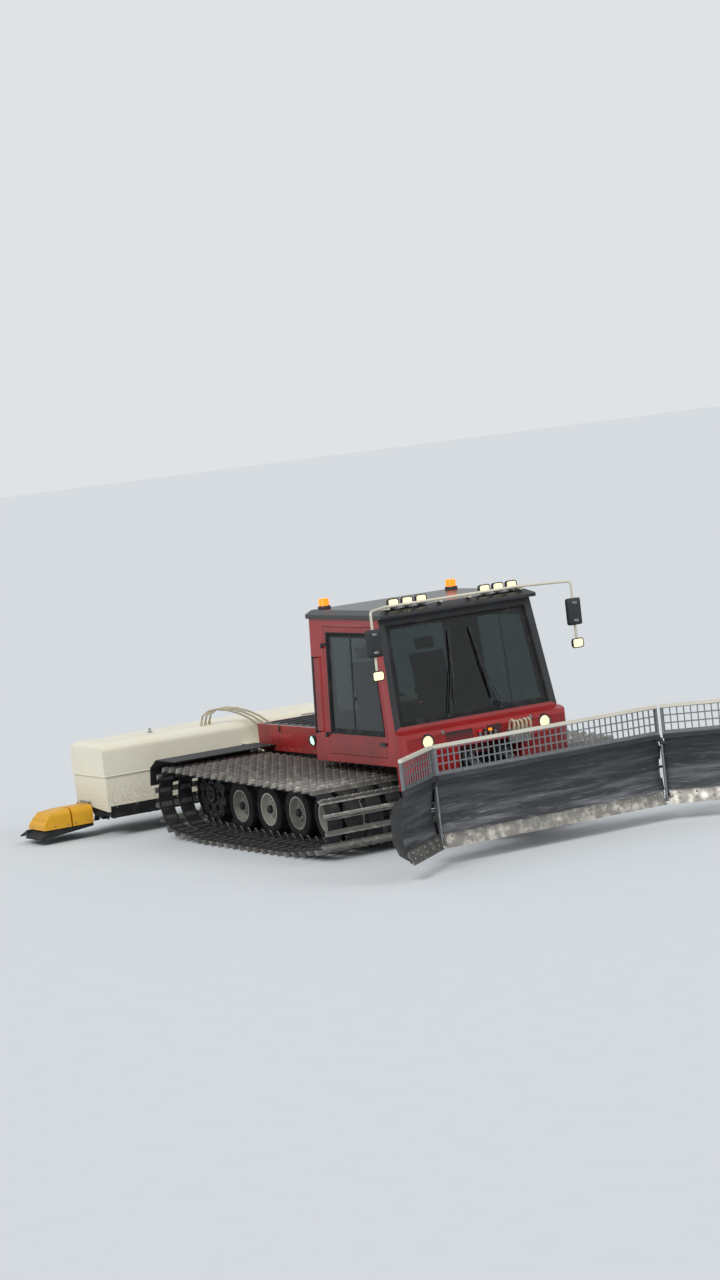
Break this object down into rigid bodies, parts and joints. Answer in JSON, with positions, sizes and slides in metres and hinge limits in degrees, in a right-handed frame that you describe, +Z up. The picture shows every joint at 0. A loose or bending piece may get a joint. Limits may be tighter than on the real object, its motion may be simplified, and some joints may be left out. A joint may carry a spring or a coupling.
{
  "type": "tracked snow groomer",
  "caption": "Tracked snow groomer: hollow glazed cab between two wide cleated tracks, front blade with folding wings and mesh guard, rear tiller with side finishers.",
  "frame": {"origin": "on the ground under the middle of the machine's length and width, blade and tiller included", "axes": "+X forward, +Y to the machine's left, +Z up"},
  "size_m": [8.6592, 6.419, 2.9204],
  "materials": {
    "hull_paint": "satin",
    "body_paint": "gloss",
    "dark_steel": "satin",
    "dark_panel": "satin",
    "tyre": "matte",
    "rim": "satin",
    "sprocket": "matte",
    "track": "matte",
    "engine": "matte",
    "rubber": "matte",
    "glass": "gloss",
    "seat_fabric": "matte",
    "cab_plastic": "matte",
    "lamp": "gloss",
    "amber": "gloss",
    "bright_steel": "satin",
    "blade_black": "satin",
    "guard_steel": "satin",
    "chrome": "polished",
    "tiller_cream": "satin",
    "comb_rubber": "matte",
    "finisher_yellow": "satin"
  },
  "bodies": {
    "root": {"tub": "hull_paint", "front_bracket": "dark_steel", "rear_bracket": "dark_steel", "suspension_arms": "dark_steel", "tyres": "tyre", "rims": "rim", "final_drives": "dark_steel", "sprockets": "sprocket", "track_right": "track", "track_left": "track", "engine_block": "engine", "engine_bay": "body_paint", "cab_mounts": "rubber", "cab_frame": "body_paint", "cab_roof": "dark_panel", "windscreen": "glass", "rear_window": "glass", "nose": "body_paint", "front_hoses": "rubber", "seats": "seat_fabric", "dashboard": "cab_plastic", "controls": "cab_plastic", "lamps": "lamp", "beacons": "amber", "mirror_arms": "bright_steel", "exhaust": "bright_steel", "mudguards": "rubber"},
    "engine_hood": {"engine_hood": "dark_panel"},
    "door_right": {"door_right": "body_paint", "door_glass_right": "glass"},
    "door_left": {"door_left": "body_paint", "door_glass_left": "glass"},
    "push_frame": {"push_frame": "dark_steel"},
    "blade_carrier": {"blade_carrier": "dark_steel"},
    "blade": {"blade": "blade_black", "blade_guard": "guard_steel"},
    "wing_right": {"wing_right": "blade_black"},
    "wing_left": {"wing_left": "blade_black"},
    "lift_barrels": {"lift_barrels": "dark_steel"},
    "lift_rods": {"lift_rods": "chrome"},
    "angle_barrel_right": {"angle_barrel_right": "dark_steel"},
    "angle_rod_right": {"angle_rod_right": "chrome"},
    "angle_barrel_left": {"angle_barrel_left": "dark_steel"},
    "angle_rod_left": {"angle_rod_left": "chrome"},
    "wing_barrel_right": {"wing_barrel_right": "dark_steel"},
    "wing_rod_right": {"wing_rod_right": "chrome"},
    "wing_barrel_left": {"wing_barrel_left": "dark_steel"},
    "wing_rod_left": {"wing_rod_left": "chrome"},
    "tiller": {"tiller_arm": "dark_steel", "tiller_hoses": "rubber", "tiller_hood": "tiller_cream", "tiller_comb": "comb_rubber"},
    "drum_right": {"drum_right": "dark_steel"},
    "drum_left": {"drum_left": "dark_steel"},
    "finisher_right": {"finisher_right": "finisher_yellow"},
    "finisher_left": {"finisher_left": "finisher_yellow"},
    "tiller_barrels": {"tiller_barrels": "dark_steel"},
    "tiller_rods": {"tiller_rods": "chrome"}
  },
  "joints": [
    {"name": "door_left", "type": "hinge", "parent": "root", "child": "door_left", "pos_m": [0.505, 1.12399, 1.68468], "axis": [0, -0.0586, 0.9983], "range_deg": [0, 75]},
    {"name": "door_right", "type": "hinge", "parent": "root", "child": "door_right", "pos_m": [0.505, -1.12399, 1.68468], "axis": [0, -0.0586, -0.9983], "range_deg": [0, 75]},
    {"name": "engine_hood", "type": "hinge", "parent": "root", "child": "engine_hood", "pos_m": [0.06, 0, 1.2725], "axis": [0, 1, 0], "range_deg": [0, 60]},
    {"name": "blade_lift", "type": "hinge", "parent": "root", "child": "push_frame", "pos_m": [2.15, 0, 0.48], "axis": [0, -1, 0], "range_deg": [-9, 24]},
    {"name": "blade_angle", "type": "hinge", "parent": "push_frame", "child": "blade_carrier", "pos_m": [2.95, 0, 0.48], "axis": [0, 0, 1], "range_deg": [-25, 25]},
    {"name": "blade_tilt", "type": "hinge", "parent": "blade_carrier", "child": "blade", "pos_m": [3.38, 0, 0.51], "axis": [1, 0, 0], "range_deg": [-8, 8]},
    {"name": "wing_left", "type": "hinge", "parent": "blade", "child": "wing_left", "pos_m": [3.592, 1.538, 0.6], "axis": [0, 0, -1], "range_deg": [-40, 20]},
    {"name": "wing_right", "type": "hinge", "parent": "blade", "child": "wing_right", "pos_m": [3.592, -1.538, 0.6], "axis": [0, 0, 1], "range_deg": [-40, 20]},
    {"name": "tiller_lift", "type": "hinge", "parent": "root", "child": "tiller", "pos_m": [-2.34, 0, 0.52], "axis": [0, 1, 0], "range_deg": [-5, 22]},
    {"name": "drum_left", "type": "hinge", "parent": "tiller", "child": "drum_left", "pos_m": [-3.66, 1.2, 0.385], "axis": [0, 1, 0], "continuous": true},
    {"name": "drum_right", "type": "hinge", "parent": "tiller", "child": "drum_right", "pos_m": [-3.66, -1.2, 0.385], "axis": [0, 1, 0], "continuous": true},
    {"name": "finisher_left", "type": "hinge", "parent": "tiller", "child": "finisher_left", "pos_m": [-3.845, 2.4345, 0.44], "axis": [1, 0, 0], "range_deg": [0, 70]},
    {"name": "finisher_right", "type": "hinge", "parent": "tiller", "child": "finisher_right", "pos_m": [-3.845, -2.4345, 0.44], "axis": [-1, 0, 0], "range_deg": [0, 70]},
    {"name": "lift_barrel_swing", "type": "hinge", "parent": "root", "child": "lift_barrels", "pos_m": [2.16, 0, 1], "axis": [0, -1, 0], "range_deg": [-8, 18]},
    {"name": "lift_rod_slide", "type": "slide", "parent": "lift_barrels", "child": "lift_rods", "axis": [0.8716, 0, -0.4903], "range_m": [-0.205, 0.08]},
    {"name": "tiller_barrel_swing", "type": "hinge", "parent": "root", "child": "tiller_barrels", "pos_m": [-2.35, 0, 0.99], "axis": [0, 1, 0], "range_deg": [-5, 19]},
    {"name": "tiller_rod_slide", "type": "slide", "parent": "tiller_barrels", "child": "tiller_rods", "axis": [-0.9132, 0, -0.4074], "range_m": [-0.18, 0.045]},
    {"name": "angle_barrel_left_swing", "type": "hinge", "parent": "push_frame", "child": "angle_barrel_left", "pos_m": [2.38, 0.3, 0.631], "axis": [0, 0, 1], "range_deg": [-12, 12]},
    {"name": "angle_rod_left_slide", "type": "slide", "parent": "angle_barrel_left", "child": "angle_rod_left", "axis": [0.9606, 0.2781, 0], "range_m": [-0.2, 0.2]},
    {"name": "wing_barrel_left_swing", "type": "hinge", "parent": "blade", "child": "wing_barrel_left", "pos_m": [3.3, 0.9, 0.62], "axis": [0, 0, -1], "range_deg": [-8, 5]},
    {"name": "wing_rod_left_slide", "type": "slide", "parent": "wing_barrel_left", "child": "wing_rod_left", "axis": [0.1526, 0.9883, 0], "range_m": [-0.155, 0.08]},
    {"name": "angle_barrel_right_swing", "type": "hinge", "parent": "push_frame", "child": "angle_barrel_right", "pos_m": [2.38, -0.3, 0.631], "axis": [0, 0, 1], "range_deg": [-12, 12]},
    {"name": "angle_rod_right_slide", "type": "slide", "parent": "angle_barrel_right", "child": "angle_rod_right", "axis": [0.9606, -0.2781, 0], "range_m": [-0.2, 0.2]},
    {"name": "wing_barrel_right_swing", "type": "hinge", "parent": "blade", "child": "wing_barrel_right", "pos_m": [3.3, -0.9, 0.62], "axis": [0, 0, 1], "range_deg": [-8, 5]},
    {"name": "wing_rod_right_slide", "type": "slide", "parent": "wing_barrel_right", "child": "wing_rod_right", "axis": [0.1526, -0.9883, 0], "range_m": [-0.155, 0.08]}
  ],
  "couplings": [
    {"joint": "lift_barrel_swing", "follows": "blade_lift", "ratio": 0.71},
    {"joint": "lift_rod_slide", "follows": "blade_lift", "m_per_rad": -0.4756},
    {"joint": "tiller_barrel_swing", "follows": "tiller_lift", "ratio": 0.81},
    {"joint": "tiller_rod_slide", "follows": "tiller_lift", "m_per_rad": -0.45},
    {"joint": "angle_barrel_left_swing", "follows": "blade_angle", "ratio": 0.41},
    {"joint": "angle_rod_left_slide", "follows": "blade_angle", "m_per_rad": -0.443},
    {"joint": "wing_barrel_left_swing", "follows": "wing_left", "ratio": 0.175},
    {"joint": "wing_rod_left_slide", "follows": "wing_left", "m_per_rad": 0.212},
    {"joint": "angle_barrel_right_swing", "follows": "blade_angle", "ratio": 0.41},
    {"joint": "angle_rod_right_slide", "follows": "blade_angle", "m_per_rad": 0.443},
    {"joint": "wing_barrel_right_swing", "follows": "wing_right", "ratio": 0.175},
    {"joint": "wing_rod_right_slide", "follows": "wing_right", "m_per_rad": 0.212}
  ]
}
